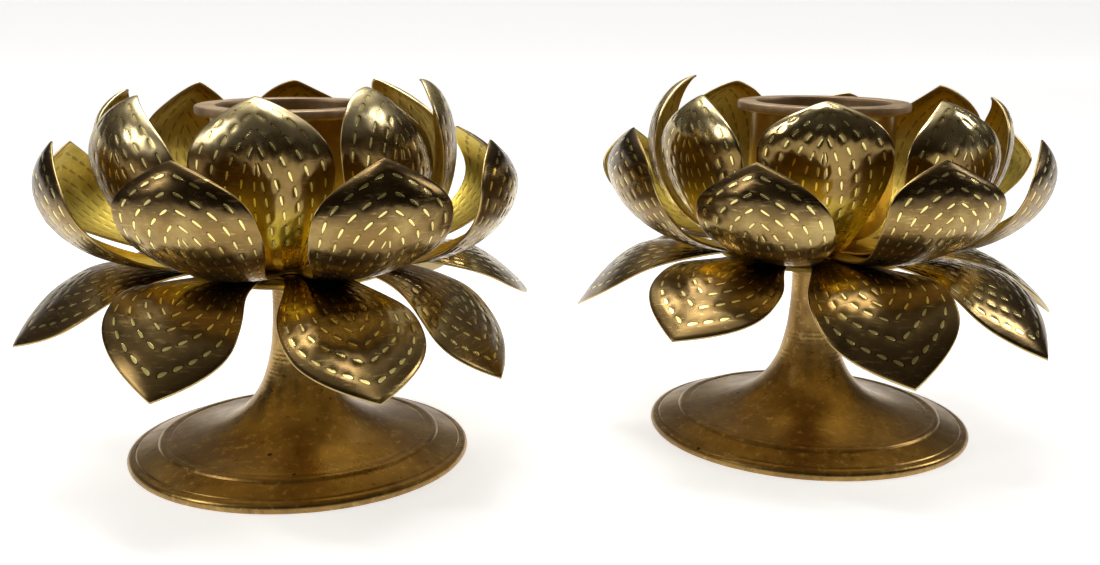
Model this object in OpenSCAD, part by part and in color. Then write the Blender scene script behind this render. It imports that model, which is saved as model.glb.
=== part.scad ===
// A pair of brass lotus holders for a tealight or a small votive candle.
// Each is a turned pedestal, a support disc, three rings of petals cut from sheet
// and bent by hand, and a cast cup. One screw through the cup's floor clamps them all.
// The pair stands on z = 0 with the origin midway between the two holders, in line along X.

/* [Pair] */
// Room between the two flowers where their petals come nearest
flower_gap = 8; // [6:1:80]

/* [Pedestal] */
// Diameter of the round foot
foot_d = 100; // [84:1:130]
// Height of the foot's rounded rim
foot_rim_h = 3.2; // [2.4:0.2:5]
// Diameter of the raised disc on the foot, inside the rim
foot_step_d = 82; // [66:1:82]
// Height that the foot gains between its rim and the raised disc
foot_band_h = 2.6; // [1:0.2:4]
// Height of the raised disc's step
foot_step_h = 0.8; // [0.4:0.1:1.6]
// Height of the pedestal, from the table to the underside of the support disc
stem_h = 56.4; // [46:0.2:90]
// Diameter of the stem where it is straight
stem_d = 13.6; // [11:0.2:18]
// Diameter of the collar at the stem's top
collar_d = 16.8; // [16:0.2:24]
// Height of that collar
collar_h = 1.8; // [1:0.2:4]
// Thickness of the casting over the hollow of the foot
foot_wall = 3; // [2.4:0.2:4]

/* [Support disc] */
// Diameter of the disc that carries the petals
support_d = 60; // [56:1:66]
// Diameter of the flat seat on top of the disc, inside its sloping edge
support_seat_d = 51; // [46:1:54]
// Thickness of the disc
support_t = 2.4; // [1.6:0.2:4]

/* [Petals] */
// Thickness of the brass sheet
sheet_t = 0.7; // [0.5:0.05:1]
// Petals in each ring
petals = 8; // [6:1:8]
// Half the width of a petal's blunt tip
tip_half_w = 0.5; // [0.3:0.1:1]

/* [Lower ring] */
// Radius of the flat middle, out to the notches
lower_web_r = 26.5; // [25:0.5:28]
// Radius at the petals' tips
lower_reach = 76; // [70:0.5:96]
// How far the tips hang below the flat middle
lower_drop = 21.5; // [17:0.5:28]
// Half the width of a petal at its neck
lower_neck_w = 8.2; // [7:0.2:9]
// Half the width of a petal at its widest
lower_belly_w = 18.8; // [16:0.2:21]

/* [Middle ring] */
// Radius of the flat middle, out to the notches
middle_web_r = 24; // [22:0.5:26]
// Radius at the petals' tips
middle_reach = 64; // [61:0.5:80]
// How far the tips stand above the flat middle
middle_rise = 35.5; // [29:0.5:42]
// Half the width of a petal at its neck
middle_neck_w = 7.8; // [6:0.2:7.8]
// Half the width of a petal at its widest
middle_belly_w = 19.4; // [16:0.2:21]

/* [Inner ring] */
// Radius of the flat middle, out to the notches
inner_web_r = 19; // [18:0.5:20]
// Radius at the petals' tips
inner_reach = 45; // [43:0.5:48]
// How far the tips stand above the flat middle
inner_rise = 47.5; // [40:0.5:58]
// Half the width of a petal at its neck
inner_neck_w = 6; // [5:0.2:6.6]
// Half the width of a petal at its widest
inner_belly_w = 19.2; // [15:0.2:19.4]

/* [Cup] */
// Bore that takes the candle
cup_bore_d = 40.5; // [36:0.5:42]
// Depth of the straight bore
socket_depth = 28; // [18:0.5:29]
// Wall of the cup
cup_wall = 1.7; // [1.2:0.1:2.4]
// Height of the cup, from its foot to the top of its rim
cup_h = 43; // [38:0.5:52]
// Outer diameter of the flat rim
cup_rim_d = 52; // [50:0.5:56]
// Thickness of the rim
cup_rim_t = 2.6; // [1.6:0.1:3.6]
// Diameter of the cup's foot
cup_foot_d = 25; // [22:0.5:28]
// Thickness of the cup's floor
cup_floor = 3.2; // [2.4:0.1:4]

/* [Screw] */
// Diameter of the screw's shank
screw_d = 5; // [4:0.5:6]
// Depth of the shank in the stem
screw_grip = 14; // [10:0.5:20]
// Diameter of the screw's head
head_d = 9; // [8:0.5:11]
// Height of the screw's head
head_h = 3; // [2:0.2:4]
// Width of the driver slot
slot_w = 1.2; // [0.8:0.1:1.6]
// Diameter of the washer under the head
washer_d = 12; // [11:0.5:14]
// Thickness of that washer
washer_t = 0.8; // [0.5:0.1:1.2]
// Clearance all round where a piece turns on the shank
turn_gap = 0.1; // [0.05:0.01:0.1]

/* [Hidden] */

LEFT = -1;
RIGHT = 1;
// Each holder stands this far from the middle of the pair
holder_x = lower_reach + flower_gap / 2;

// The stack, from the stem's top up to the screw's head
lower_z = stem_h + support_t;
middle_z = lower_z + sheet_t;
inner_z = middle_z + sheet_t;
cup_z = inner_z + sheet_t;
washer_z = cup_z + cup_floor;
head_z = washer_z + washer_t;

// Play of the shank in its tapped hole, which holds it, and the hole's room past the shank
thread_gap = 0.05;
hole_spare = 2;
hole_r = screw_d / 2 + turn_gap;
// Depth of the driver slot, as a share of the head's height and in itself
slot_share = 0.45;
slot_depth = head_h * slot_share;
// Radius of the small roundings on turned edges
edge_r = 0.6;
// Thickness of the support disc at its edge
support_edge_t = 1.2;
// Width of the ring that the hollow foot stands on
foot_land = 6;
// Height of the hollow at the foot's middle, and two points that guide its curve: the first
// is radius and drop from the top, the second radius and height over the foot's wall
hollow_h = 20;
hollow_top = [10, 3];
hollow_toe = [14, 3];
// The flare of the stem: how far below the stem's top it begins, the width and height of the
// point that guides its waist, and the width and height over the step of the one at its toe
flare_start = 10;
flare_waist = [0.4, 16];
flare_toe = [10, 2];
flare_inset = 1;
// Rounding of the raised disc's edge, and the slope under the stem's collar
step_edge = 0.3;
collar_slope = 1.5;

// How far a petal's root laps into the flat middle, and how thick the lap is
root_lap = 3;
// The flat middle's rim lies this far inside the first row of each petal
root_set = 0.2;
lap_t = sheet_t - 0.2;
// Places along a petal where its rows of points lie, and the points across half a row
rows = [0, 0.07, 0.18, 0.32, 0.46, 0.6, 0.74, 0.86, 0.95, 1];
across = 4;
// Share of the petal's length over which its hollow comes in, and the share of it that is
// there at the root already
form_in = 0.4;
form_root = 0.04;
// Half the stretch of a petal over which the slope of its face is taken
probe = 0.01;

// The centre line of each petal runs out level from the flat middle to its tip. Two guide
// points give it its belly, as radius and height: the first is counted from the flat
// middle's edge and the second from the tip
lower_guides = [[22.5, -1], [-24, 23.5]];
middle_guides = [[36, 0], [13, -12.5]];
inner_guides = [[37, 0.5], [16, -4.5]];
// How far each petal's edges turn from flat, in degrees: up where positive
lower_hollow = -16;
middle_hollow = 23;
inner_hollow = 29;
// Where along its length a petal is widest, how its outline fills out from the neck, and
// how full the shoulders are that run in to its tip
lower_outline = [0.67, 1.37, 3];
middle_outline = [0.62, 1.86, 3.4];
inner_outline = [0.61, 1.91, 1.95];

// Each ring's turn about the stem, counted from the front towards +X
left_turns = [-32, -22.5, -6.5];
right_turns = [-52.5, -37, -22];
// What the hand did to each petal, in degrees, round the ring from the petal at its turn:
// lift at its middle, lift at its tip, lean to the side at its middle, lean at its tip, and
// the twist of its tip
left_lower_bends = [
    [6, 1, 1, 7, -11], [-3, -1, 3, 4, 1], [-5, -2, -2, -12, -9],
    [6, 4, -3, 7, 10], [2, 2, 0, 0, 0], [2, 0, 0, 0, 0],
    [2, 4, 0, 2, 0], [6, 4, 2, 4, -7],
];
left_middle_bends = [
    [-2, 0, 2, -1, -2], [-4, 0, -1, 0, -1], [-1, 2, -5, -9, 11],
    [0, -3, -4, 16, -14], [0, 0, 0, 0, 0], [0, -2, 0, 0, 0],
    [-6, -5, 5, 5, -1], [-3, 1, 2, -4, -1],
];
left_inner_bends = [
    [3, 2, 0, -2, -4], [6, 6, -1, -6, 20], [11, 8, 1, -11, 9],
    [1, 1, -2, 17, -13], [1, -1, 1, 6, -9], [-3, -1, 0, -1, 4],
    [0, -2, 0, -8, 0], [-2, 0, 2, -4, 7],
];
right_lower_bends = [
    [6, 7, 3, 3, -10], [4, -3, 3, 7, 20], [5, 0, 0, -2, 0],
    [2, 0, 0, -1, 0], [2, 1, 0, 0, 0], [2, 0, 0, 0, 0],
    [2, 2, 0, 0, 0], [5, -2, -1, -13, -2],
];
right_middle_bends = [
    [-6, -4, 3, 1, -5], [-3, -2, 1, -1, 4], [0, 1, -4, -3, 3],
    [3, -3, 2, -4, -5], [0, 0, 0, 0, 0], [0, 0, -1, -1, 0],
    [-3, -5, -3, -7, 0], [0, 3, 3, 1, -5],
];
right_inner_bends = [
    [5, -2, 1, 1, -4], [-2, -2, 1, -3, -5], [-1, -4, 2, 0, 7],
    [1, -1, 0, -7, 7], [0, -10, 0, -9, 0], [6, -2, 0, -7, 2],
    [0, 6, 0, -8, 0], [0, -2, 2, -1, -4],
];

$fn = 96;

// A point on the smooth curve that four guide points give, and its direction there
function curve(p, t) = pow(1 - t, 3) * p[0] + 3 * t * pow(1 - t, 2) * p[1]
    + 3 * t * t * (1 - t) * p[2] + pow(t, 3) * p[3];
function heading(p, t) = let (d = pow(1 - t, 2) * (p[1] - p[0]) + 2 * t * (1 - t) * (p[2] - p[1])
    + t * t * (p[3] - p[2])) atan2(d[1], d[0]);
function curve_points(p, n) = [for (i = [0 : n]) curve(p, i / n)];
function centre_line(web, reach, rise, guides) =
    [[web, 0], [web, 0] + guides[0], [reach, rise] + guides[1], [reach, rise]];

// Half the petal's width, from the neck through the belly to the tip; a petal's form is
// its neck, its belly, its hollow and its outline
function half_width(form, t) =
    let (neck = form[0], belly = form[1], belly_at = form[3][0], fill = form[3][1],
        shoulder = form[3][2])
    t < belly_at
        ? neck + (belly - neck) * pow(sin(90 * t / belly_at), fill)
        : tip_half_w + (belly - tip_half_w) * (1 - pow((t - belly_at) / (1 - belly_at), shoulder));
function formed(t) = sin(90 * min(1, t / form_in));
// A bend that is nothing at the root, and has one value halfway along and another at the tip
function bent(middle, tip, t) = middle * 4 * t * (1 - t) + tip * t * (2 * t - 1);

// A point in the middle of the sheet, at t along the petal and v across it from -1 to 1
function sheet_point(spine, form, bend, t, v) =
    let (
        q = form[2] * (form_root + (1 - form_root) * formed(t)),
        radius = half_width(form, t) / (q * PI / 180),
        flat_side = radius * sin(v * q),
        flat_rise = radius * (1 - cos(v * q)),
        twist = bend[4] * t,
        side = flat_side * cos(twist) - flat_rise * sin(twist),
        rise = flat_side * sin(twist) + flat_rise * cos(twist),
        c = curve(spine, t),
        a = heading(spine, t),
        out = c[0] - rise * sin(a) - spine[0][0],
        up = c[1] + rise * cos(a),
        lift = bent(bend[0], bend[1], t),
        r = spine[0][0] + out * cos(lift) - up * sin(lift),
        swing = bent(bend[2], bend[3], t)
    )
    [
        r * cos(swing) - side * sin(swing),
        r * sin(swing) + side * cos(swing),
        out * sin(lift) + up * cos(lift),
    ];

// The same point moved off the sheet's middle, square to the sheet
function face_point(spine, form, bend, t, v, off) =
    let (
        p = sheet_point(spine, form, bend, t, v),
        along = sheet_point(spine, form, bend, t + probe, v)
            - sheet_point(spine, form, bend, t - probe, v),
        over = sheet_point(spine, form, bend, t, v + probe)
            - sheet_point(spine, form, bend, t, v - probe),
        n = cross(along, over)
    )
    p + off * n / norm(n);

// One petal: two skins of points, top then bottom, with the lap that joins it to the ring
module petal(spine, form, bend) {
    n = 2 * across;
    m = len(rows);
    function row_t(i) = min(max(rows[i], probe), 1 - probe);
    function lap(off) = [for (j = [0 : n]) [spine[0][0] - root_lap, form[0] * (j / across - 1), off]];
    function skin(off) = [for (i = [0 : m - 1], j = [0 : n])
        let (t = rows[i], v = j / across - 1)
        t == 0 ? [spine[0][0], form[0] * v, off * lap_t / sheet_t]
        : t == 1 ? sheet_point(spine, form, bend, 1, v)
            + face_point(spine, form, bend, row_t(i), v, off)
            - sheet_point(spine, form, bend, row_t(i), v)
        : face_point(spine, form, bend, t, v, off)];
    top = concat(lap(lap_t / 2), skin(sheet_t / 2));
    bottom = concat(lap(-lap_t / 2), skin(-sheet_t / 2));
    k = len(top);
    w = n + 1;
    polyhedron(
        points = concat(top, bottom),
        faces = concat(
            [for (i = [0 : m - 1], j = [0 : n - 1]) [i * w + j, i * w + j + 1, (i + 1) * w + j + 1]],
            [for (i = [0 : m - 1], j = [0 : n - 1]) [i * w + j, (i + 1) * w + j + 1, (i + 1) * w + j]],
            [for (i = [0 : m - 1], j = [0 : n - 1])
                [k + i * w + j, k + (i + 1) * w + j + 1, k + i * w + j + 1]],
            [for (i = [0 : m - 1], j = [0 : n - 1])
                [k + i * w + j, k + (i + 1) * w + j, k + (i + 1) * w + j + 1]],
            [for (i = [0 : m - 1]) [i * w, (i + 1) * w, k + (i + 1) * w]],
            [for (i = [0 : m - 1]) [i * w, k + (i + 1) * w, k + i * w]],
            [for (i = [0 : m - 1]) [i * w + n, k + (i + 1) * w + n, (i + 1) * w + n]],
            [for (i = [0 : m - 1]) [i * w + n, k + i * w + n, k + (i + 1) * w + n]],
            [for (j = [0 : n - 1]) [j, k + j, j + 1]],
            [for (j = [0 : n - 1]) [j + 1, k + j, k + j + 1]],
            [for (j = [0 : n - 1]) [m * w + j, m * w + j + 1, k + m * w + j + 1]],
            [for (j = [0 : n - 1]) [m * w + j, k + m * w + j + 1, k + m * w + j]]
        ),
        convexity = 4
    );
}

// A ring of petals cut from one sheet, with the hole that turns on the screw
module petal_ring(z, spine, form, turn, bends) {
    translate([0, 0, z + sheet_t / 2])
        difference() {
            union() {
                cylinder(r = spine[0][0] - root_set, h = sheet_t, center = true);
                for (i = [0 : petals - 1])
                    rotate([0, 0, turn - 90 + i * 360 / petals])
                        petal(spine, form, bends[i]);
            }
            cylinder(r = hole_r, h = 2 * sheet_t, center = true);
        }
}

// The cast pedestal: a foot with a rounded rim and a raised disc, and a stem that flares into it
module pedestal() {
    foot_r = foot_d / 2;
    step_r = foot_step_d / 2;
    step_z = foot_rim_h + foot_band_h + foot_step_h;
    stem_r = stem_d / 2;
    flare = [
        [stem_r, stem_h - flare_start], [stem_r + flare_waist[0], flare_waist[1]],
        [stem_r, step_z] + flare_toe, [step_r - flare_inset, step_z],
    ];
    hollow = [
        [0, hollow_h], [hollow_top[0], hollow_h - hollow_top[1]],
        [hollow_toe[0], foot_wall + hollow_toe[1]], [foot_r - foot_land, 0],
    ];
    rim_r = foot_rim_h / 2;
    difference() {
        rotate_extrude()
            polygon(concat(
                curve_points(hollow, 14),
                [for (a = [-90 : 15 : 90])
                    [foot_r - rim_r + rim_r * cos(a), rim_r + rim_r * sin(a)]],
                [[step_r, foot_rim_h + foot_band_h], [step_r, step_z - step_edge], [step_r - step_edge, step_z]],
                [for (i = [20 : -1 : 0]) curve(flare, i / 20)],
                [
                    [stem_r, stem_h - collar_h - collar_slope], [collar_d / 2 - edge_r, stem_h - collar_h],
                    [collar_d / 2, stem_h - collar_h + edge_r], [collar_d / 2, stem_h], [0, stem_h],
                ]
            ));
        translate([0, 0, stem_h - screw_grip - hole_spare])
            cylinder(r = screw_d / 2 + thread_gap, h = screw_grip + hole_spare + 1);
    }
}

// The turned disc that the lowest ring of petals lies on
module support_disc() {
    r = support_d / 2;
    translate([0, 0, stem_h])
        rotate_extrude()
            polygon([
                [hole_r, 0], [r - edge_r, 0], [r, support_edge_t / 2],
                [r - edge_r, support_edge_t], [support_seat_d / 2, support_t], [hole_r, support_t],
            ]);
}

// The cast cup: a flat rim, a straight bore for the candle, and a bowl drawn in to a small foot
module cup() {
    bore_r = cup_bore_d / 2;
    wall_r = bore_r + cup_wall;
    rim_r = cup_rim_d / 2;
    foot_r = cup_foot_d / 2;
    foot_h = 1.5;
    bowl_top = cup_h - socket_depth;
    translate([0, 0, cup_z])
        rotate_extrude()
            polygon(concat(
                [[hole_r, 0]],
                [for (a = [0 : 10 : 90])
                    [foot_r + (wall_r - foot_r) * sin(a),
                        a == 0 ? 0 : foot_h + (bowl_top - foot_h) * (1 - cos(a))]],
                [
                    [wall_r, cup_h - cup_rim_t], [rim_r - edge_r, cup_h - cup_rim_t],
                    [rim_r, cup_h - cup_rim_t + edge_r], [rim_r, cup_h - edge_r],
                    [rim_r - edge_r, cup_h], [bore_r, cup_h],
                ],
                [for (a = [90 : -10 : 0])
                    [foot_r - cup_wall + (bore_r - foot_r + cup_wall) * sin(a),
                        cup_floor + (bowl_top - cup_floor) * (1 - cos(a))]],
                [[hole_r, cup_floor]]
            ));
}

// The plain washer under the screw's head
module washer() {
    translate([0, 0, washer_z])
        difference() {
            cylinder(d = washer_d, h = washer_t);
            translate([0, 0, -1])
                cylinder(r = hole_r, h = washer_t + 2);
        }
}

// The slotted cheese-head screw that clamps the cup and the petals to the stem
module screw() {
    difference() {
        union() {
            translate([0, 0, head_z])
                cylinder(d = head_d, h = head_h);
            translate([0, 0, stem_h - screw_grip])
                cylinder(d = screw_d, h = head_z - stem_h + screw_grip + 1);
        }
        translate([-head_d / 2 - 1, -slot_w / 2, head_z + head_h - slot_depth])
            cube([head_d + 2, slot_w, slot_depth + 1]);
    }
}

// A piece of the left or the right holder, set on its axis
module stand(side) {
    translate([side * holder_x, 0, 0])
        children();
}

module lower_petals(turn, bends) {
    form = [lower_neck_w, lower_belly_w, lower_hollow, lower_outline];
    spine = centre_line(lower_web_r, lower_reach, -lower_drop, lower_guides);
    petal_ring(lower_z, spine, form, turn, bends);
}

module middle_petals(turn, bends) {
    form = [middle_neck_w, middle_belly_w, middle_hollow, middle_outline];
    spine = centre_line(middle_web_r, middle_reach, middle_rise, middle_guides);
    petal_ring(middle_z, spine, form, turn, bends);
}

module inner_petals(turn, bends) {
    form = [inner_neck_w, inner_belly_w, inner_hollow, inner_outline];
    spine = centre_line(inner_web_r, inner_reach, inner_rise, inner_guides);
    petal_ring(inner_z, spine, form, turn, bends);
}

module left_pedestal() {
    color("peru") stand(LEFT) pedestal();
}

module left_support_disc() {
    color("khaki") stand(LEFT) support_disc();
}

module left_lower_petals() {
    color("darkgoldenrod") stand(LEFT) lower_petals(left_turns[0], left_lower_bends);
}

module left_middle_petals() {
    color("goldenrod") stand(LEFT) middle_petals(left_turns[1], left_middle_bends);
}

module left_inner_petals() {
    color("gold") stand(LEFT) inner_petals(left_turns[2], left_inner_bends);
}

module left_cup() {
    color("sienna") stand(LEFT) cup();
}

module left_washer() {
    color("silver") stand(LEFT) washer();
}

module left_screw() {
    color("gray") stand(LEFT) screw();
}

module right_pedestal() {
    color("peru") stand(RIGHT) pedestal();
}

module right_support_disc() {
    color("khaki") stand(RIGHT) support_disc();
}

module right_lower_petals() {
    color("darkgoldenrod") stand(RIGHT) lower_petals(right_turns[0], right_lower_bends);
}

module right_middle_petals() {
    color("goldenrod") stand(RIGHT) middle_petals(right_turns[1], right_middle_bends);
}

module right_inner_petals() {
    color("gold") stand(RIGHT) inner_petals(right_turns[2], right_inner_bends);
}

module right_cup() {
    color("sienna") stand(RIGHT) cup();
}

module right_washer() {
    color("silver") stand(RIGHT) washer();
}

module right_screw() {
    color("gray") stand(RIGHT) screw();
}

left_pedestal();
left_support_disc();
left_lower_petals();
left_middle_petals();
left_inner_petals();
left_cup();
left_washer();
left_screw();
right_pedestal();
right_support_disc();
right_lower_petals();
right_middle_petals();
right_inner_petals();
right_cup();
right_washer();
right_screw();
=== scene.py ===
# A pair of brass lotus holders, each for one tealight or small votive candle.
# Each holder: a turned pedestal, a support disc, three rings of petals cut from sheet,
# a turned cup, and a screw with a washer that clamps the stack.
import math

import bmesh
import bpy
import numpy as np
from mathutils import Matrix, Vector


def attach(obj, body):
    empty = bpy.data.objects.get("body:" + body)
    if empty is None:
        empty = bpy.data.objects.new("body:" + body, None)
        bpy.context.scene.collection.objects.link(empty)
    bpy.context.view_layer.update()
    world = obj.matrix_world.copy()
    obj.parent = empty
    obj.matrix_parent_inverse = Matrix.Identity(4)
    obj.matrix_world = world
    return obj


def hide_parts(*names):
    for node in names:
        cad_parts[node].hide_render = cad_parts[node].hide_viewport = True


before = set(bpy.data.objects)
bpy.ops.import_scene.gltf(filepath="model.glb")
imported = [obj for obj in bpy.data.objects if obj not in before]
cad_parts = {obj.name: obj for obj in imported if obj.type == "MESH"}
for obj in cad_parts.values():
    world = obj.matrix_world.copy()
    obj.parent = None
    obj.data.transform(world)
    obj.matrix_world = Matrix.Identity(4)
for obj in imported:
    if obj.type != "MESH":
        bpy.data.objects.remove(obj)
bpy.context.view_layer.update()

# The camera stands a little left of the pair's middle and looks slightly down and to the
# right, as a person does who sits at the table.
lens_mm = 40.58
stand_at = (-0.0658, -0.3620, 0.1324)
look_down, look_right, roll = math.radians(12.7), math.radians(9.65), math.radians(-0.5)
camera_data = bpy.data.cameras.new("camera")
camera_data.lens = lens_mm
camera_data.sensor_width = 36
camera_data.clip_start = 0.01
camera = bpy.data.objects.new("camera", camera_data)
bpy.context.scene.collection.objects.link(camera)
camera.location = stand_at
camera.rotation_euler = (
    Matrix.Rotation(-look_right, 3, "Z")
    @ Matrix.Rotation(math.pi / 2 - look_down, 3, "X")
    @ Matrix.Rotation(-roll, 3, "Z")
).to_euler()
bpy.context.scene.camera = camera
bpy.context.scene.view_settings.view_transform = "Standard"


# The floor is a wide, matt, pale sheet that lies flat under the pair and turns up far
# behind it. It is not a part of the holders.
class Wire:
    """One value in a finish. Sums on it add Math nodes; make adds any other node."""

    def __init__(self, tree, socket=None):
        self.tree, self.socket = tree, socket

    def make(self, kind, settings, sockets, out=0):
        node = self.tree.nodes.new(kind)
        for name, value in settings.items():
            if name == "stops":
                ramp = node.color_ramp.elements
                while len(ramp) < len(value):
                    ramp.new(0.5)
                for stop, (place, colour) in zip(ramp, value):
                    stop.position = place
                    stop.color = (*colour, 1)
            else:
                setattr(node, name, value)
        for name, value in sockets.items():
            if isinstance(value, Wire):
                self.tree.links.new(value.socket, node.inputs[name])
            else:
                node.inputs[name].default_value = value
        return Wire(self.tree, node.outputs[out] if node.outputs else None)

    def math(self, operation, *values):
        return self.make("ShaderNodeMath", {"operation": operation}, dict(enumerate(values)))

    def __add__(self, other):
        return self.math("ADD", self, other)

    def __sub__(self, other):
        return self.math("SUBTRACT", self, other)

    def __rsub__(self, other):
        return self.math("SUBTRACT", other, self)

    def __mul__(self, other):
        return self.math("MULTIPLY", self, other)

    def __truediv__(self, other):
        return self.math("DIVIDE", self, other)

    __radd__, __rmul__ = __add__, __mul__

    def ease(self, low, high):
        """0 below low and 1 above high, with a soft step between; low may be the larger."""
        return self.make(
            "ShaderNodeMapRange",
            {"interpolation_type": "SMOOTHSTEP"},
            {"Value": self, "From Min": low, "From Max": high},
        )

    def tint(self, colour_a, colour_b):
        """Mixes two colours by this value."""
        colours = {6: as_colour(colour_a), 7: as_colour(colour_b)}
        return self.make("ShaderNodeMix", {"data_type": "RGBA"}, {0: self, **colours}, 2)

    def noise(self, scale, detail, vector=None, roughness=0.5):
        """Noise at that scale, along another vector than the object's own where one is given."""
        sockets = {"Scale": scale, "Detail": detail, "Roughness": roughness}
        if vector is not None:
            sockets["Vector"] = vector
        return self.make("ShaderNodeTexNoise", {}, sockets)

    def bump(self, height, strength, distance):
        """A normal that the height pushes; distance is in metres."""
        return self.make(
            "ShaderNodeBump", {}, {"Strength": strength, "Distance": distance, "Height": height}
        )


def as_colour(value):
    return value if isinstance(value, Wire) else (*value, 1)


def finish(name):
    """A new empty material, and a first wire to make its nodes from."""
    material = bpy.data.materials.new(name)
    material.use_nodes = True
    material.node_tree.nodes.clear()
    return material, Wire(material.node_tree)


def coat(material, wire, sockets):
    """Ends a finish with the surface it describes."""
    surface = wire.make("ShaderNodeBsdfPrincipled", {}, sockets)
    wire.make("ShaderNodeOutputMaterial", {}, {"Surface": surface})
    return material


def solid(name, points, faces, smooth=True):
    """An object from points in metres and faces."""
    mesh = bpy.data.meshes.new(name)
    mesh.from_pydata(np.asarray(points).tolist(), [], [list(map(int, f)) for f in faces])
    mesh.update()
    mesh.polygons.foreach_set("use_smooth", [smooth] * len(mesh.polygons))
    piece = bpy.data.objects.new(name, mesh)
    bpy.context.scene.collection.objects.link(piece)
    return piece


floor_reach, floor_turn_y, floor_turn_r = 6.0, 2.2, 0.9
run = [(y, 0.0) for y in np.linspace(-floor_reach, floor_turn_y, 30)]
run += [
    (floor_turn_y + floor_turn_r * math.sin(a), floor_turn_r * (1 - math.cos(a)))
    for a in np.linspace(0.05, 1.2, 20)
]
across_x = np.linspace(-floor_reach, floor_reach, 25)
floor_points = [(x, y, z) for y, z in run for x in across_x]
wide = len(across_x)
floor_faces = [
    (i * wide + j, i * wide + j + 1, (i + 1) * wide + j + 1, (i + 1) * wide + j)
    for i in range(len(run) - 1)
    for j in range(wide - 1)
]
floor = solid("floor", floor_points, floor_faces)
pale, wire = finish("pale_floor")
grain = wire.noise(40.0, 4.0)
coat(
    pale,
    wire,
    {
        "Base Color": grain.tint((0.80, 0.80, 0.80), (0.84, 0.84, 0.835)),
        "Roughness": 0.6,
        "Emission Color": (1, 1, 1, 1),
        "Emission Strength": 0.70,
    },
)
floor.data.materials.append(pale)


# The light: soft boxes overhead and behind, a weaker one at each side, and a room that is
# dark at eye level and brighter overhead, which is what the polished brass shows.
def soft_box(name, at, aim, wide_m, deep_m, watts, colour):
    light = bpy.data.lights.new(name, "AREA")
    light.shape = "RECTANGLE"
    light.size, light.size_y = wide_m, deep_m
    light.energy = watts
    light.color = colour
    box = bpy.data.objects.new(name, light)
    bpy.context.scene.collection.objects.link(box)
    box.location = at
    box.rotation_euler = (Vector(aim) - Vector(at)).to_track_quat("-Z", "Y").to_euler()


soft_box("light_behind", (-0.10, 0.42, 0.88), (0, 0, 0.07), 0.50, 0.22, 2.5, (1, 0.98, 0.94))
soft_box("light_above", (-0.05, -0.04, 0.95), (0, 0, 0.07), 0.42, 0.14, 1.8, (1, 0.98, 0.95))
soft_box("light_left", (-0.95, -0.25, 0.62), (0, 0, 0.06), 0.16, 0.40, 2.0, (1, 0.98, 0.96))
soft_box("light_right", (1.0, 0.0, 0.70), (0, 0, 0.06), 0.16, 0.40, 2.0, (0.98, 0.98, 1))

room = bpy.data.worlds.new("room")
room.use_nodes = True
room.node_tree.nodes.clear()
bpy.context.scene.world = room
wire = Wire(room.node_tree)
way = wire.make("ShaderNodeTexCoord", {}, {}, "Generated")
# The ceiling's bright part stands a little behind the pair
tilt = math.radians(24)
ceiling = (0.0, math.sin(tilt), math.cos(tilt))
towards = wire.make(
    "ShaderNodeVectorMath", {"operation": "DOT_PRODUCT"}, {0: way, 1: ceiling}, "Value"
)
shade = towards.make(
    "ShaderNodeValToRGB",
    {
        "stops": [
            (0.0, (0.030, 0.024, 0.018)),
            (0.55, (0.045, 0.036, 0.026)),
            (0.74, (0.16, 0.145, 0.12)),
            (0.86, (0.54, 0.52, 0.49)),
            (1.0, (0.90, 0.88, 0.85)),
        ]
    },
    {"Fac": towards},
)
# Seen past the floor's edge the room is as pale as the floor; the brass still reflects the
# darker room above
plain = shade.make("ShaderNodeLightPath", {}, {}, "Is Camera Ray").tint(shade, (0.97, 0.97, 0.965))
glow = shade.make("ShaderNodeBackground", {}, {"Color": plain, "Strength": 1.0})
glow.make("ShaderNodeOutputWorld", {}, {"Surface": glow})


# The pedestals: each is one brass casting, turned on a lathe into a round foot, a raised
# disc and a slim stem. The tool's fine rings, the casting's pits and a brown patina stay.
holder_x = {"left": -0.080, "right": 0.080}


def guided(points, steps):
    """Points on the smooth curve that four guide points give."""
    p = np.asarray(points, float)
    t = np.linspace(0, 1, steps)[:, None]
    return (1 - t) ** 3 * p[0] + 3 * t * (1 - t) ** 2 * p[1] + 3 * t * t * (1 - t) * p[2] + t**3 * p[3]


def along(profile, spacing):
    """The same profile with points no further apart than spacing, in mm."""
    out = [profile[0]]
    for a, b in zip(profile[:-1], profile[1:]):
        steps = max(1, int(math.ceil(math.dist(a, b) / spacing)))
        out += [tuple(np.add(a, np.subtract(b, a) * k / steps)) for k in range(1, steps + 1)]
    return np.array(out)


def ripple(points, size, amount, seed):
    """A smooth random height at each point: waves about size long, amount high."""
    draw = np.random.default_rng(seed)
    total = np.zeros(len(points))
    for _ in range(14):
        heading = draw.normal(size=3)
        heading /= np.linalg.norm(heading)
        wave = size * draw.uniform(0.7, 1.6)
        total += np.sin(points @ heading * (2 * math.pi / wave) + draw.uniform(0, 2 * math.pi))
    return amount * total / math.sqrt(14)


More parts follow.
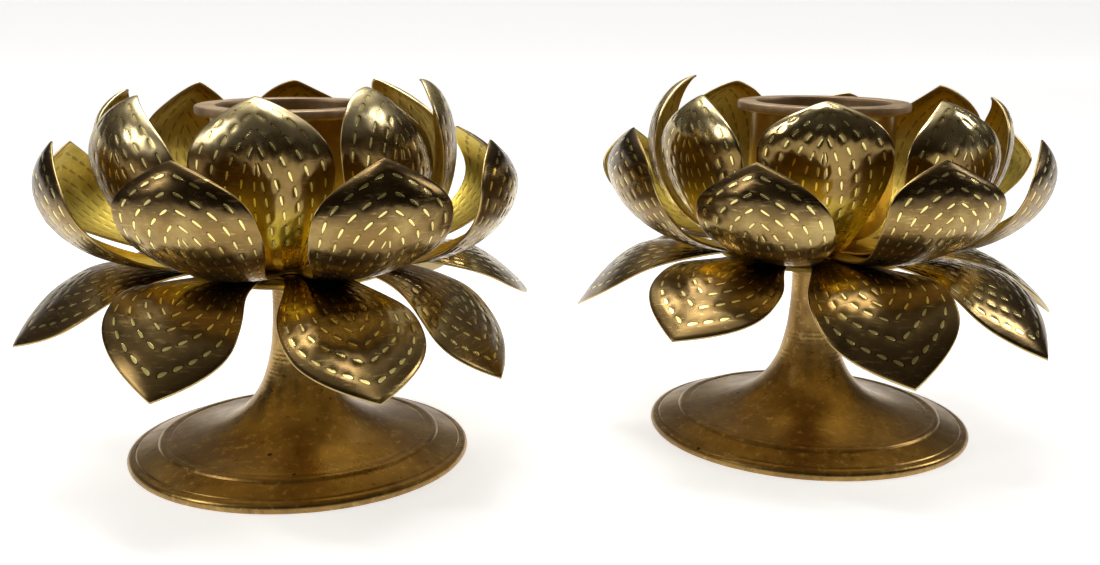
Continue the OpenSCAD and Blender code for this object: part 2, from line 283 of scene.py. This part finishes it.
def turned(name, profile, centre_x, around, dent=0.0, seed=1):
    """A body of revolution in mm about the holder's axis, from a profile of (radius, height)."""
    profile = np.asarray(profile, float)
    angle = np.arange(around) * 2 * math.pi / around
    points, first = [], []
    for r, z in profile:
        first.append(len(points))
        if r < 1e-6:
            points.append((0, 0, z))
        else:
            points += [(r * math.cos(a), r * math.sin(a), z) for a in angle]
    points = np.array(points)
    if dent:
        radius = np.hypot(points[:, 0], points[:, 1])
        push = ripple(points, 9, dent, seed) * np.clip((radius - 4) / 4, 0, 1)
        points[:, :2] *= (1 - np.abs(push) / np.maximum(radius, 1))[:, None]
    faces = []
    for i in range(len(profile) - 1):
        a, b = first[i], first[i + 1]
        pole_a, pole_b = profile[i][0] < 1e-6, profile[i + 1][0] < 1e-6
        for j in range(around):
            k = (j + 1) % around
            if pole_a:
                faces.append((a, b + j, b + k))
            elif pole_b:
                faces.append((a + j, b, a + k))
            else:
                faces.append((a + j, b + j, b + k, a + k))
    points[:, 0] += centre_x * 1000
    return solid(name, points / 1000, faces)


foot_r, rim_h, disc_r, band_top, disc_top = 50.0, 3.2, 41.0, 5.8, 6.6
stem_r, stem_h, collar_r, collar_h = 6.8, 56.4, 8.4, 1.8
flare_top, tapped_r, tapped_to = 46.4, 2.55, 40.4
hollow_top, land_r = 20.0, 44.0


def groove(profile, radius, width, depth):
    """Sinks a turned line of that width and depth where the profile's top passes radius."""
    gap = (profile[:, 0] - radius) / (width / 2)
    profile[:, 1] -= depth * np.exp(-gap * gap)
    return profile


underside = guided([(0, hollow_top), (10, hollow_top - 3), (14, 6), (land_r, 0)], 30)
bead_r = rim_h / 2
bead = [
    (foot_r - bead_r + bead_r * math.cos(a), bead_r + bead_r * math.sin(a))
    for a in np.linspace(-math.pi / 2, math.pi / 2, 17)
]
band = along([(foot_r - bead_r - 0.1, rim_h), (disc_r, band_top)], 0.15)
band = groove(band, 47.6, 0.45, 0.28)
flare = [(stem_r, flare_top), (stem_r + 0.4, 16), (stem_r + 10, disc_top + 2), (disc_r - 1, disc_top)]
top = guided(flare, 150)[::-1]
top = groove(top, 38.6, 0.35, 0.16)
top = groove(top, 37.7, 0.35, 0.16)
# The tool chattered on the way up the stem and left small ribs
draw = np.random.default_rng(5)
stem = along([(stem_r, flare_top), (stem_r, stem_h - collar_h - 1.5)], 0.25)
climb = np.vstack([top, stem[1:]])
rib = np.sin(climb[:, 1] * 2 * math.pi / 1.15 + 1.2 * np.sin(climb[:, 1] * 0.9))
climb[:, 0] -= 0.07 * (1 - rib) / 2 * np.clip((climb[:, 1] - 17) / 10, 0, 1)
shoulder = [
    (collar_r - 0.6, stem_h - collar_h),
    (collar_r - 0.18, stem_h - collar_h + 0.18),
    (collar_r, stem_h - collar_h + 0.6),
    (collar_r, stem_h - 0.15),
    (collar_r - 0.15, stem_h),
    (tapped_r, stem_h),
    (tapped_r, tapped_to),
    (0, tapped_to),
]
disc_edge = [(disc_r - 0.08, disc_top - 0.25)]
pedestal_profile = np.vstack([underside, bead, band[1:], disc_edge, climb, shoulder])



def lathe_lines(wire):
    """The place on the piece, its height, and a vector that makes noise run round the axis."""
    place = wire.make("ShaderNodeTexCoord", {}, {}, "Object")
    x, y, z = (wire.make("ShaderNodeSeparateXYZ", {}, {"Vector": place}, k) for k in range(3))
    off_axis = x.math("ABSOLUTE", x) - holder_x["right"]
    radius = wire.math("SQRT", off_axis * off_axis + y * y)
    return place, z, wire.make("ShaderNodeCombineXYZ", {}, {"X": radius, "Y": 0.0, "Z": z})


patina, wire = finish("pedestal_patina")
place, _, rings = lathe_lines(wire)
lines = wire.noise(2600.0, 3.0, rings)
broad_lines = wire.noise(500.0, 2.0, rings)
clouds = wire.noise(45.0, 6.0, place, 0.62)
specks = wire.noise(420.0, 5.0, place, 0.7)
pits = wire.make("ShaderNodeTexVoronoi", {}, {"Vector": place, "Scale": 95.0}, "Distance")
pit = pits.ease(0.085, 0.035) * clouds.ease(0.5, 0.56)
brown = clouds.ease(0.35, 0.68)
colour = brown.tint((0.45, 0.285, 0.09), (0.25, 0.145, 0.046))
colour = specks.ease(0.52, 0.72).tint(colour, (0.62, 0.42, 0.15))
colour = specks.ease(0.42, 0.28).tint(colour, (0.16, 0.085, 0.03))
colour = pit.tint(colour, (0.03, 0.015, 0.008))
relief = lines * 0.5 + broad_lines * 0.5 + specks * 0.35 - pit * 2.5
coat(
    patina,
    wire,
    {
        "Base Color": colour,
        "Metallic": 1.0,
        "Roughness": 0.27 + brown * 0.1 + specks.ease(0.45, 0.7) * 0.1,
        "Normal": wire.bump(relief, 0.28, 0.00012),
    },
)
pedestal_dent = 0.035
for side, seed in (("left", 11), ("right", 12)):
    piece = turned(
        f"{side}_pedestal_casting", pedestal_profile, holder_x[side], 180, pedestal_dent, seed
    )
    piece.data.materials.append(patina)
    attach(piece, f"{side}_holder")
    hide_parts(f"{side}_pedestal")


# The support discs: a turned brass disc on each stem's top. Its pale, bright face shows
# through the notches between the lower petals.
disc_brass, wire = finish("support_disc_brass")
place = wire.make("ShaderNodeTexCoord", {}, {}, "Object")
clouds = wire.noise(130.0, 5.0, place)
coat(
    disc_brass,
    wire,
    {
        "Base Color": clouds.tint((0.80, 0.66, 0.28), (0.62, 0.47, 0.17)),
        "Metallic": 1.0,
        "Roughness": 0.32 + clouds * 0.15,
        "Normal": wire.bump(clouds, 0.2, 0.0001),
    },
)
for side in holder_x:
    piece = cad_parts[f"{side}_support_disc"]
    piece.data.materials.clear()
    piece.data.materials.append(disc_brass)


# The petals: each ring is one sheet of brass, cut into eight petals and chased with rows
# of teardrop dashes before it was bent, petal by petal, over a stake.
petals, sheet_t, hole_r = 8, 0.7, 2.6
form_in, tip_half = 0.4, 0.5
# The chased rows, as shares of the petal's half width, and the half width of a dash's bed
dash_rows, bed = (0.09, 0.28, 0.47, 0.66, 0.85), 0.026
first_row_tip, dash_pitch = 0.62, 4.2
# A dash is a drop: half its length as a share of the pitch, its width at the middle and the
# narrowing to its tail, then how deep it is sunk on the struck face and raised on the other
dash_half, dash_wide, dash_tail, dash_sunk, dash_raised = 0.33, 1.3, 0.45, 0.16, 0.10
dash_slim = 1.25
steps_along, flat_loops, notch_steps = 110, 7, 7
edge_in = 0.985
# The points round the sheet's edge: how far out, as a share of the half width, and how far
# off the sheet's middle, as a share of half its thickness
edge_round = ((0.995, 0.6), (1.0, 0.0), (0.995, -0.6))
# The unevenness that the hammer left, in mm: the length and height of its waves
hammer_wave, hammer_high = 17, 0.09


def half_width(form, t):
    neck, belly, _, belly_at, fill, shoulder = form
    rise = neck + (belly - neck) * np.sin(np.pi / 2 * np.clip(t / belly_at, 0, 1)) ** fill
    over = np.clip((t - belly_at) / (1 - belly_at), 0, 1)
    fall = tip_half + (belly - tip_half) * (1 - over**shoulder)
    return np.where(t < belly_at, rise, fall)


def bent(middle, tip, t):
    return middle * 4 * t * (1 - t) + tip * t * (2 * t - 1)


def sheet_point(spine, form, bend, t, v):
    """A point in the middle of the sheet in mm: t along the petal, v across it."""
    p = np.asarray(spine, float)
    formed = np.sin(np.pi / 2 * np.clip(t / form_in, 0, 1))
    q = np.radians(form[2]) * (0.04 + 0.96 * formed)
    curl = half_width(form, t) / q
    flat_side, flat_rise = curl * np.sin(v * q), curl * (1 - np.cos(v * q))
    twist = np.radians(bend[4]) * t
    side = flat_side * np.cos(twist) - flat_rise * np.sin(twist)
    rise = flat_side * np.sin(twist) + flat_rise * np.cos(twist)
    s = (1 - t)[..., None]
    u = t[..., None]
    c = s**3 * p[0] + 3 * u * s**2 * p[1] + 3 * u * u * s * p[2] + u**3 * p[3]
    d = s * s * (p[1] - p[0]) + 2 * u * s * (p[2] - p[1]) + u * u * (p[3] - p[2])
    a = np.arctan2(d[..., 1], d[..., 0])
    out, up = c[..., 0] - rise * np.sin(a) - p[0][0], c[..., 1] + rise * np.cos(a)
    lift = np.radians(bent(bend[0], bend[1], t))
    swing = np.radians(bent(bend[2], bend[3], t))
    r = p[0][0] + out * np.cos(lift) - up * np.sin(lift)
    return np.stack(
        [
            r * np.cos(swing) - side * np.sin(swing),
            r * np.sin(swing) + side * np.cos(swing),
            out * np.sin(lift) + up * np.cos(lift),
        ],
        -1,
    )


def square_to(spine, form, bend, t, v):
    """The sheet's own direction outwards, square to it, on its upper face."""
    step = 0.004
    t = np.clip(t, step, 1 - 3 * step)
    v = np.clip(v, -1 + step, 1 - step)
    run = sheet_point(spine, form, bend, t + step, v) - sheet_point(spine, form, bend, t - step, v)
    over = sheet_point(spine, form, bend, t, v + step) - sheet_point(spine, form, bend, t, v - step)
    n = np.cross(run, over)
    return n / np.linalg.norm(n, axis=-1, keepdims=True)


def petal_ring(z, spine, form, turn, bends, show_up, seed):
    """One ring: a closed skin of quads, with the dashes sunk in the face that shows."""
    neck = form[0]
    web = spine[0][0]
    slant = math.sin(math.pi / petals)
    # A round notch between two petals touches both their edges, its bottom on the web's edge
    notch_at = (web - neck) / (1 - slant)
    notch_r = notch_at * slant - neck
    root_x = notch_at * math.cos(math.pi / petals)
    run_in = 3 * (spine[1][0] - web)
    t_root = (root_x - web) / run_in

    # Nested outlines: m runs from -1 to 1 across, tau from 0 to 1 along, and every outline
    # ends on the petal's middle line
    half = [0.0]
    for row in dash_rows:
        half += [row - bed, row, row + bed]
    half += [0.5 * (a + b) for a, b in zip(dash_rows[:-1], dash_rows[1:])] + [0.9, 0.955, edge_in]
    half = np.array(sorted(half))
    m = np.concatenate([-half[:0:-1], half])
    tau = np.linspace(0, 1, steps_along + 1)

    def place(m, tau):
        reach = first_row_tip + (1 - first_row_tip) * np.abs(m) ** 1.15
        t = t_root + (1 - t_root) * tau * reach
        own = t_root + (1 - t_root) * tau
        width = np.abs(m) * (half_width(form, own) - tip_half * tau**8)
        v = np.clip(width / half_width(form, t), 0, 1) * np.sign(m)
        return t, v

    M, T = np.meshgrid(m, tau)
    t, v = place(M, T)
    # Where the dashes lie: a row's centre, and the beat of the hammer along it
    rows = np.array(dash_rows)
    nearest = np.abs(np.abs(M)[..., None] - rows).argmin(-1)
    off_row = np.abs(np.abs(M) - rows[nearest]) / bed
    beat, thin = np.zeros_like(t), np.full_like(t, 9.0)
    draw = np.random.default_rng(seed)
    for k, row in enumerate(rows):
        tt, vv = place(np.full(steps_along + 1, row), tau)
        line = sheet_point(spine, form, (0, 0, 0, 0, 0), tt, vv)
        length = np.concatenate([[0], np.cumsum(np.linalg.norm(np.diff(line, axis=0), axis=1))])
        count = round((length[-1] - 1.0) / dash_pitch)
        phase = count * (length - 0.6) / (length[-1] - 1.0)
        size = np.interp(length / length[-1], [0, 0.02, 0.4, 1], [0.45, 0.5, 0.8, 1.05])
        here = nearest == k
        beat[here] = np.broadcast_to(phase[:, None], t.shape)[here]
        thin[here] = np.broadcast_to(1 / size[:, None], t.shape)[here]
    q = (beat % 1 - 0.5) / dash_half
    girth = off_row * (dash_wide - dash_tail * q) * thin * dash_slim
    inside = np.clip(1.15 - q * q - girth * girth, 0, 1)
    cut = np.clip(inside * 1.6, 0, 1)

    points, faces = [], []
    marks = {"row": [], "beat": [], "thin": [], "show": [], "reach": [], "petal": []}
    wide = len(m)
    tall = steps_along + 1
    total = 0

    def add(p, **values):
        nonlocal total
        p = p.reshape(-1, 3)
        points.append(p)
        for key in marks:
            value = np.asarray(values.get(key, 9.0 if key == "thin" else 0.0), float)
            marks[key].append(np.broadcast_to(value, (len(p),)))
        total += len(p)
        return total - len(p)

    heading = math.radians(turn - 90)
    loops = [[] for _ in range(5)]  # top edge, three rim lines, bottom edge
    inner = [[], []]
    for i in range(petals):
        bend = bends[i]
        a = heading + i * 2 * math.pi / petals
        spin = np.array([[math.cos(a), math.sin(a), 0], [-math.sin(a), math.cos(a), 0], [0, 0, 1]])
        tone = draw.uniform()

        def lay(t, v, off):
            mid = sheet_point(spine, form, bend, t, v)
            n = square_to(spine, form, bend, t, v)
            spots = mid.reshape(-1, 3) + 100 * i
            hammered = ripple(spots, hammer_wave, hammer_high, seed + 50 + i).reshape(t.shape)
            hammered = hammered * np.clip(t / 0.2, 0, 1) * np.clip((1 - t) / 0.12, 0, 1)
            return (mid + n * (off + hammered)[..., None]) @ spin

        up = np.where(show_up, -dash_sunk * cut, dash_raised * cut)
        down = np.where(show_up, dash_raised * cut, -dash_sunk * cut)
        fade = np.clip((1 - t) / 0.05, 0, 1)
        ids = []
        for side in (1, -1):
            off = side * (sheet_t / 2) + (side * (up if side > 0 else down)) * fade
            shown = 1.0 if (side > 0) == show_up else 0.0
            start = add(
                lay(t, v, off),
                row=off_row.ravel(),
                beat=beat.ravel(),
                thin=thin.ravel(),
                show=shown,
                reach=t.ravel(),
                petal=tone,
            )
            grid = start + np.arange(tall * wide).reshape(tall, wide)
            grid[-1] = grid[-1][np.minimum(np.arange(wide), wide - 1 - np.arange(wide))]
            ids.append(grid)
            a_, b_, c_, d_ = grid[:-1, :-1], grid[:-1, 1:], grid[1:, 1:], grid[1:, :-1]
            quads = np.stack([a_, d_, c_, b_] if side > 0 else [a_, b_, c_, d_], -1).reshape(-1, 4)
            faces.extend(quads)
        # round the sheet's edge: up the left side of the petal and down the right side
        lines = [np.concatenate([ids[0][:, 0], ids[0][-2::-1, -1]])]
        for out_to, off_by in edge_round:
            lt, lv = place(np.full(tall, -out_to), tau)
            rt, rv = place(np.full(tall, out_to), tau)
            tt, vv = np.concatenate([lt, rt[-2::-1]]), np.concatenate([lv, rv[-2::-1]])
            edge = lay(tt, vv, np.full(len(tt), off_by * sheet_t / 2))
            start = add(edge, show=0.5, reach=tt, petal=tone, row=1.5)
            lines.append(start + np.arange(len(tt)))
        lines.append(np.concatenate([ids[1][:, 0], ids[1][-2::-1, -1]]))
        for loop, line in zip(loops, lines):
            loop.append(line)
        inner[0].append(ids[0][0])
        inner[1].append(ids[1][0])
        # the notch to the next petal, from its right edge round to the next one's left edge
        b = a + math.pi / petals
        centre = notch_at * np.array([math.cos(b), math.sin(b), 0])
        share = np.linspace(-1, 1, notch_steps + 2)[1:-1]
        sweep = share * (math.pi / 2 - math.pi / petals)
        for loop, inset, off in zip(loops, (0.3, 0.1, 0.0, 0.1, 0.3), (0.5, 0.3, 0.0, -0.3, -0.5)):
            ang = b + math.pi + sweep
            ring_r = notch_r + inset
            arc = centre + ring_r * np.stack([np.cos(ang), np.sin(ang), np.zeros_like(ang)], -1)
            # The arc runs from this petal's side to the next one's
            arc = arc if np.cross(arc[0] - centre, arc[-1] - centre)[2] < 0 else arc[::-1].copy()
            sag = np.abs(share) ** 2
            root_low = sheet_point(spine, form, bend, np.array([t_root]), np.array([0.99]))[0, 2]
            arc[:, 2] = off * sheet_t + sag * root_low
            outer = 1.0 if (off > 0) == show_up else 0.0
            start = add(arc, show=0.5 if abs(off) < 0.5 else outer, row=1.5)
            loop.append(start + np.arange(len(arc)))
            if abs(off) == 0.5:
                inner[0 if off > 0 else 1].append(start + np.arange(len(arc)))
    loops = [np.concatenate(line) for line in loops]
    for la, lb in zip(loops[:-1], loops[1:]):
        faces.extend(np.stack([la, np.roll(la, -1), np.roll(lb, -1), lb], -1))
    # the flat middle: loops that shrink from the petals' roots to the hole for the screw
    stacked = np.concatenate(points)
    hole = []
    for side, line in zip((1, -1), inner):
        previous = np.concatenate(line)
        rim = stacked[previous]
        reach_r, ang = np.hypot(rim[:, 0], rim[:, 1]), np.arctan2(rim[:, 1], rim[:, 0])
        for k in range(1, flat_loops + 1):
            s = k / flat_loops
            rr = reach_r * (1 - s) + hole_r * s
            zz = rim[:, 2] * (1 - s) ** 3 + side * sheet_t / 2 * (1 - (1 - s) ** 3)
            loop_points = np.stack([rr * np.cos(ang), rr * np.sin(ang), zz], -1)
            start = add(loop_points, show=1.0 if (side > 0) == show_up else 0.0, row=1.5)
            now = start + np.arange(len(rim))
            quad = [previous, np.roll(previous, -1), np.roll(now, -1), now]
            faces.extend(np.stack(quad[::-1] if side < 0 else quad, -1))
            previous = now
        hole.append(previous)
    quad = [hole[0], np.roll(hole[0], -1), np.roll(hole[1], -1), hole[1]]
    faces.extend(np.stack(quad, -1))
    cloud = np.concatenate(points)
    cloud[:, 2] += z + sheet_t / 2
    return cloud, faces, {key: np.concatenate(value) for key, value in marks.items()}


def ring_piece(side, level, cloud, faces, marks, material):
    cloud[:, 0] += holder_x[side] * 1000
    faces = [tuple(dict.fromkeys(map(int, f))) for f in faces]
    piece = solid(f"{side}_{level}_petals_chased", cloud / 1000, [f for f in faces if len(f) > 2])
    for key, values in marks.items():
        mark = piece.data.attributes.new(key, "FLOAT", "POINT")
        mark.data.foreach_set("value", values.astype(np.float32))
    bm = bmesh.new()
    bm.from_mesh(piece.data)
    loose = [v for v in bm.verts if not v.link_faces]
    bmesh.ops.delete(bm, geom=loose, context="VERTS")
    bmesh.ops.recalc_face_normals(bm, faces=bm.faces)
    bm.to_mesh(piece.data)
    bm.free()
    piece.data.materials.append(material)
    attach(piece, f"{side}_{level}_ring")
    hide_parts(f"{side}_{level}_petals")
    return piece


def petal_brass(name, shown, back, tarnish, root_painted_light, tip, spread_by):
    """Sheet brass: shown is the polished, tarnished face, back the matt golden one. The
    shown face has the colour root near the flat middle and the colour tip at its end, both
    painted light: the darker ones painted shade and dark reflection, the lighter ones a
    painted glow and a painted highlight. spread_by sets the grain of the clouds apart from ring to
    ring."""
    material, wire = finish(name)
    place = wire.make("ShaderNodeTexCoord", {}, {}, "Object")

    def read(attribute):
        return wire.make("ShaderNodeAttribute", {"attribute_name": attribute}, {}, "Fac")

    row, beat, thin, show, reach, petal = map(read, ("row", "beat", "thin", "show", "reach", "petal"))
    q = (beat.math("FRACT", beat) - 0.5) / dash_half
    girth = row * (dash_wide - q * dash_tail) * thin * dash_slim
    spread = q * q + girth * girth
    dash = spread.ease(1.0, 0.8)
    # ring is the band round each dash: it carries a painted shadow on the shown face and painted shade
    # on the back
    ring = spread.ease(1.6, 1.15) * (1 - dash)
    clouds = wire.noise(42.0 + spread_by, 6.0, place, 0.6)
    grain = wire.noise(900.0, 4.0, place, 0.7)
    stretch = wire.make(
        "ShaderNodeMapping", {"vector_type": "POINT"}, {"Vector": place, "Scale": (1, 1, 6)}
    )
    streaks = wire.noise(210.0, 5.0, stretch, 0.65)
    dull = (clouds + petal * 0.12).ease(0.40, 0.66)
    face = dull.tint(shown, tarnish)
    # Painted light: the root colour near the flat middle and the tip colour towards the petal's end
    # stand in for shade and reflections, not for the metal's own colour
    face = (reach + clouds * 0.2).ease(0.58, 0.36).tint(face, root_painted_light)
    face = (reach + clouds * 0.2).ease(0.78, 0.88).tint(face, tip)
    face = streaks.ease(0.55, 0.75).tint(face, [c * 1.25 for c in shown])
    # Painted shadow: a near-black band round each sunk dash. Painted highlight: the dash itself filled
    # bright yellow
    face = ring.tint(face, (0.05, 0.03, 0.012))
    face = dash.tint(face, (0.95, 0.80, 0.30))
    rear = clouds.ease(0.38, 0.7).tint(back, [c * 0.72 for c in back])
    rear = grain.ease(0.5, 0.8).tint(rear, [min(1, c * 1.3) for c in back])
    # Painted shade on the back face: the raised dashes and the bands round them are darkened
    rear = (ring * 0.6 + dash * 0.55).tint(rear, (0.16, 0.08, 0.02))
    edge = show.math("COMPARE", show, 0.5, 0.2)
    colour = edge.tint(show.tint(rear, face), (0.55, 0.40, 0.16))
    rough = show * (0.17 + dull * 0.13 + streaks.ease(0.5, 0.8) * 0.06)
    rough = rough + (1 - show) * (0.36 + clouds * 0.12)
    relief = grain * 0.12 + streaks * 0.3 * show - dash * 0.6
    bumped = wire.bump(relief, 0.25, 0.00012)
    return coat(
        material,
        wire,
        {"Base Color": colour, "Metallic": 1.0, "Roughness": rough, "Normal": bumped},
    )


# The lower ring's root and tip colours are darker than its brass: painted shade under the middle ring
# near the root, and a painted dark reflection towards the tips
lower_brass = petal_brass(
    "lower_petals_brass",
    shown=(0.46, 0.34, 0.13),
    back=(0.40, 0.30, 0.11),
    tarnish=(0.24, 0.15, 0.05),
    root_painted_light=(0.26, 0.165, 0.055),
    tip=(0.22, 0.145, 0.055),
    spread_by=0,
)
lower_spine = [(26.5, 0), (49, -1), (52, 2), (76, -21.5)]
lower_form = (8.2, 18.8, -16, 0.67, 1.37, 3)
lower_bends = {
    "left": [
        (6, 1, 1, 7, -11), (-3, -1, 3, 4, 1), (-5, -2, -2, -12, -9),
        (6, 4, -3, 7, 10), (2, 2, 0, 0, 0), (2, 0, 0, 0, 0),
        (2, 4, 0, 2, 0), (6, 4, 2, 4, -7),
    ],
    "right": [
        (6, 7, 3, 3, -10), (4, -3, 3, 7, 20), (5, 0, 0, -2, 0),
        (2, 0, 0, -1, 0), (2, 1, 0, 0, 0), (2, 0, 0, 0, 0),
        (2, 2, 0, 0, 0), (5, -2, -1, -13, -2),
    ],
}
lower_z = 58.8
for side, turn, seed in (("left", -32, 100), ("right", -52.5, 200)):
    cloud, faces, marks = petal_ring(
        lower_z, lower_spine, lower_form, turn, lower_bends[side], True, seed
    )
    ring_piece(side, "lower", cloud, faces, marks, lower_brass)

# The middle ring: one sheet of brass again, cut into eight wide petals that open out and
# curl up. It lies flat on the lower ring, with its polished side out.
# Its root colour is a darker painted shade near the inner ring, and its near-black tip colour is a
# painted dark reflection of the room
middle_brass = petal_brass(
    "middle_petals_brass",
    shown=(0.42, 0.31, 0.12),
    back=(0.78, 0.60, 0.10),
    tarnish=(0.24, 0.15, 0.05),
    root_painted_light=(0.30, 0.21, 0.08),
    tip=(0.135, 0.088, 0.036),
    spread_by=3,
)
middle_spine = [(24, 0), (60, 0), (77, 23), (64, 35.5)]
middle_form = (7.8, 19.4, 23, 0.62, 1.86, 3.4)
middle_bends = {
    "left": [
        (-2, 0, 2, -1, -2), (-4, 0, -1, 0, -1), (-1, 2, -5, -9, 11),
        (0, -3, -4, 16, -14), (0, 0, 0, 0, 0), (0, -2, 0, 0, 0),
        (-6, -5, 5, 5, -1), (-3, 1, 2, -4, -1),
    ],
    "right": [
        (-6, -4, 3, 1, -5), (-3, -2, 1, -1, 4), (0, 1, -4, -3, 3),
        (3, -3, 2, -4, -5), (0, 0, 0, 0, 0), (0, 0, -1, -1, 0),
        (-3, -5, -3, -7, 0), (0, 3, 3, 1, -5),
    ],
}
for side, turn, seed in (("left", -22.5, 300), ("right", -37, 400)):
    cloud, faces, marks = petal_ring(
        lower_z + sheet_t, middle_spine, middle_form, turn, middle_bends[side], False, seed
    )
    ring_piece(side, "middle", cloud, faces, marks, middle_brass)

# The inner ring: eight narrower petals of the same sheet, that stand up round the cup,
# bellied like a tulip's. It lies flat on the middle ring, under the cup's foot.
# Its root colour is a painted yellow glow, the golden inside of the middle petals reflected, and its
# pale tip colour a painted highlight. Its shown and tarnish colours are darker than the other rings'
# brass: tarnish, with painted shade and dark reflection over it
inner_brass = petal_brass(
    "inner_petals_brass",
    shown=(0.27, 0.18, 0.062),
    back=(0.62, 0.44, 0.08),
    tarnish=(0.17, 0.10, 0.035),
    root_painted_light=(1.0, 0.74, 0.05),
    tip=(0.80, 0.66, 0.36),
    spread_by=6,
)
inner_spine = [(19, 0), (56, 0.5), (61, 43), (45, 47.5)]
inner_form = (6, 19.2, 29, 0.61, 1.91, 1.95)
inner_bends = {
    "left": [
        (3, 2, 0, -2, -4), (6, 6, -1, -6, 20), (11, 8, 1, -11, 9),
        (1, 1, -2, 17, -13), (1, -1, 1, 6, -9), (-3, -1, 0, -1, 4),
        (0, -2, 0, -8, 0), (-2, 0, 2, -4, 7),
    ],
    "right": [
        (5, -2, 1, 1, -4), (-2, -2, 1, -3, -5), (-1, -4, 2, 0, 7),
        (1, -1, 0, -7, 7), (0, -10, 0, -9, 0), (6, -2, 0, -7, 2),
        (0, 6, 0, -8, 0), (0, -2, 2, -1, -4),
    ],
}
for side, turn, seed in (("left", -6.5, 500), ("right", -22, 600)):
    cloud, faces, marks = petal_ring(
        lower_z + 2 * sheet_t, inner_spine, inner_form, turn, inner_bends[side], False, seed
    )
    ring_piece(side, "inner", cloud, faces, marks, inner_brass)


# The cups: turned brass, with a thick flat rim, a straight bore for the candle and a bowl
# that draws in to a small foot. The rim has darkened; the bore is still golden.
cup_z, cup_h, bore_r, wall_r, cup_rim_r, rim_t = 60.9, 43.0, 20.25, 21.95, 26.0, 2.6
cup_foot_r, cup_floor, bowl_top = 12.5, 3.2, 15.0
outside = [
    (cup_foot_r + (wall_r - cup_foot_r) * math.sin(a), 1.5 + (bowl_top - 1.5) * (1 - math.cos(a)))
    for a in np.linspace(0.02, math.pi / 2, 24)
]
well_r = cup_foot_r - (wall_r - bore_r)
inside = [
    (well_r + (bore_r - well_r) * math.sin(a), cup_floor + (bowl_top - cup_floor) * (1 - math.cos(a)))
    for a in np.linspace(math.pi / 2, 0, 24)
]
cup_profile = along(
    [(hole_r, 0), (cup_foot_r - 0.2, 0), (cup_foot_r, 0.2)]
    + outside
    + [
        (wall_r, cup_h - rim_t),
        (cup_rim_r - 0.6, cup_h - rim_t),
        (cup_rim_r - 0.15, cup_h - rim_t + 0.2),
        (cup_rim_r, cup_h - rim_t + 0.6),
        (cup_rim_r, cup_h - 0.5),
        (cup_rim_r - 0.15, cup_h - 0.15),
        (cup_rim_r - 0.5, cup_h),
        (bore_r + 0.2, cup_h),
        (bore_r, cup_h - 0.2),
    ]
    + inside
    + [(hole_r, cup_floor), (hole_r, 0)],
    0.9,
)
cup_brass, wire = finish("cup_brass")
place, height, rings = lathe_lines(wire)
lines = wire.noise(1800.0, 3.0, rings)
clouds = wire.noise(75.0, 6.0, place, 0.6)
specks = wire.noise(500.0, 4.0, place, 0.7)
rim = height.ease((cup_z + cup_h - rim_t - 0.4) / 1000, (cup_z + cup_h - rim_t) / 1000)
wall = clouds.ease(0.35, 0.7).tint((0.62, 0.44, 0.16), (0.38, 0.25, 0.09))
rim_colour = clouds.ease(0.35, 0.65).tint((0.62, 0.46, 0.29), (0.38, 0.26, 0.15))
rim_colour = specks.ease(0.55, 0.75).tint(rim_colour, (0.50, 0.40, 0.26))
coat(
    cup_brass,
    wire,
    {
        "Base Color": rim.tint(wall, rim_colour),
        "Metallic": 1.0,
        "Roughness": 0.24 + rim * 0.24 + clouds * 0.1,
        "Normal": wire.bump(lines * 0.6 + specks * 0.5, 0.25, 0.0001),
    },
)
cup_profile = cup_profile + np.array([0, cup_z])
cup_dent = 0.02
for side, seed in (("left", 21), ("right", 22)):
    piece = turned(f"{side}_cup_turned", cup_profile, holder_x[side], 144, cup_dent, seed)
    piece.data.materials.append(cup_brass)
    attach(piece, f"{side}_cup_body")
    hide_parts(f"{side}_cup")


# The washers and screws: a stamped brass washer lies on each cup's floor, and a slotted
# brass screw goes down through the cup, the petals and the disc into the stem.
for part in ("washer", "screw"):
    metal, wire = finish(f"{part}_brass")
    place = wire.make("ShaderNodeTexCoord", {}, {}, "Object")
    clouds = wire.noise(300.0, 5.0, place)
    coat(
        metal,
        wire,
        {
            "Base Color": clouds.tint((0.60, 0.45, 0.20), (0.40, 0.28, 0.11)),
            "Metallic": 1.0,
            "Roughness": 0.3 + clouds * 0.15,
            "Normal": wire.bump(clouds, 0.2, 0.00008),
        },
    )
    for side in holder_x:
        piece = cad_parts[f"{side}_{part}"]
        piece.data.materials.clear()
        piece.data.materials.append(metal)
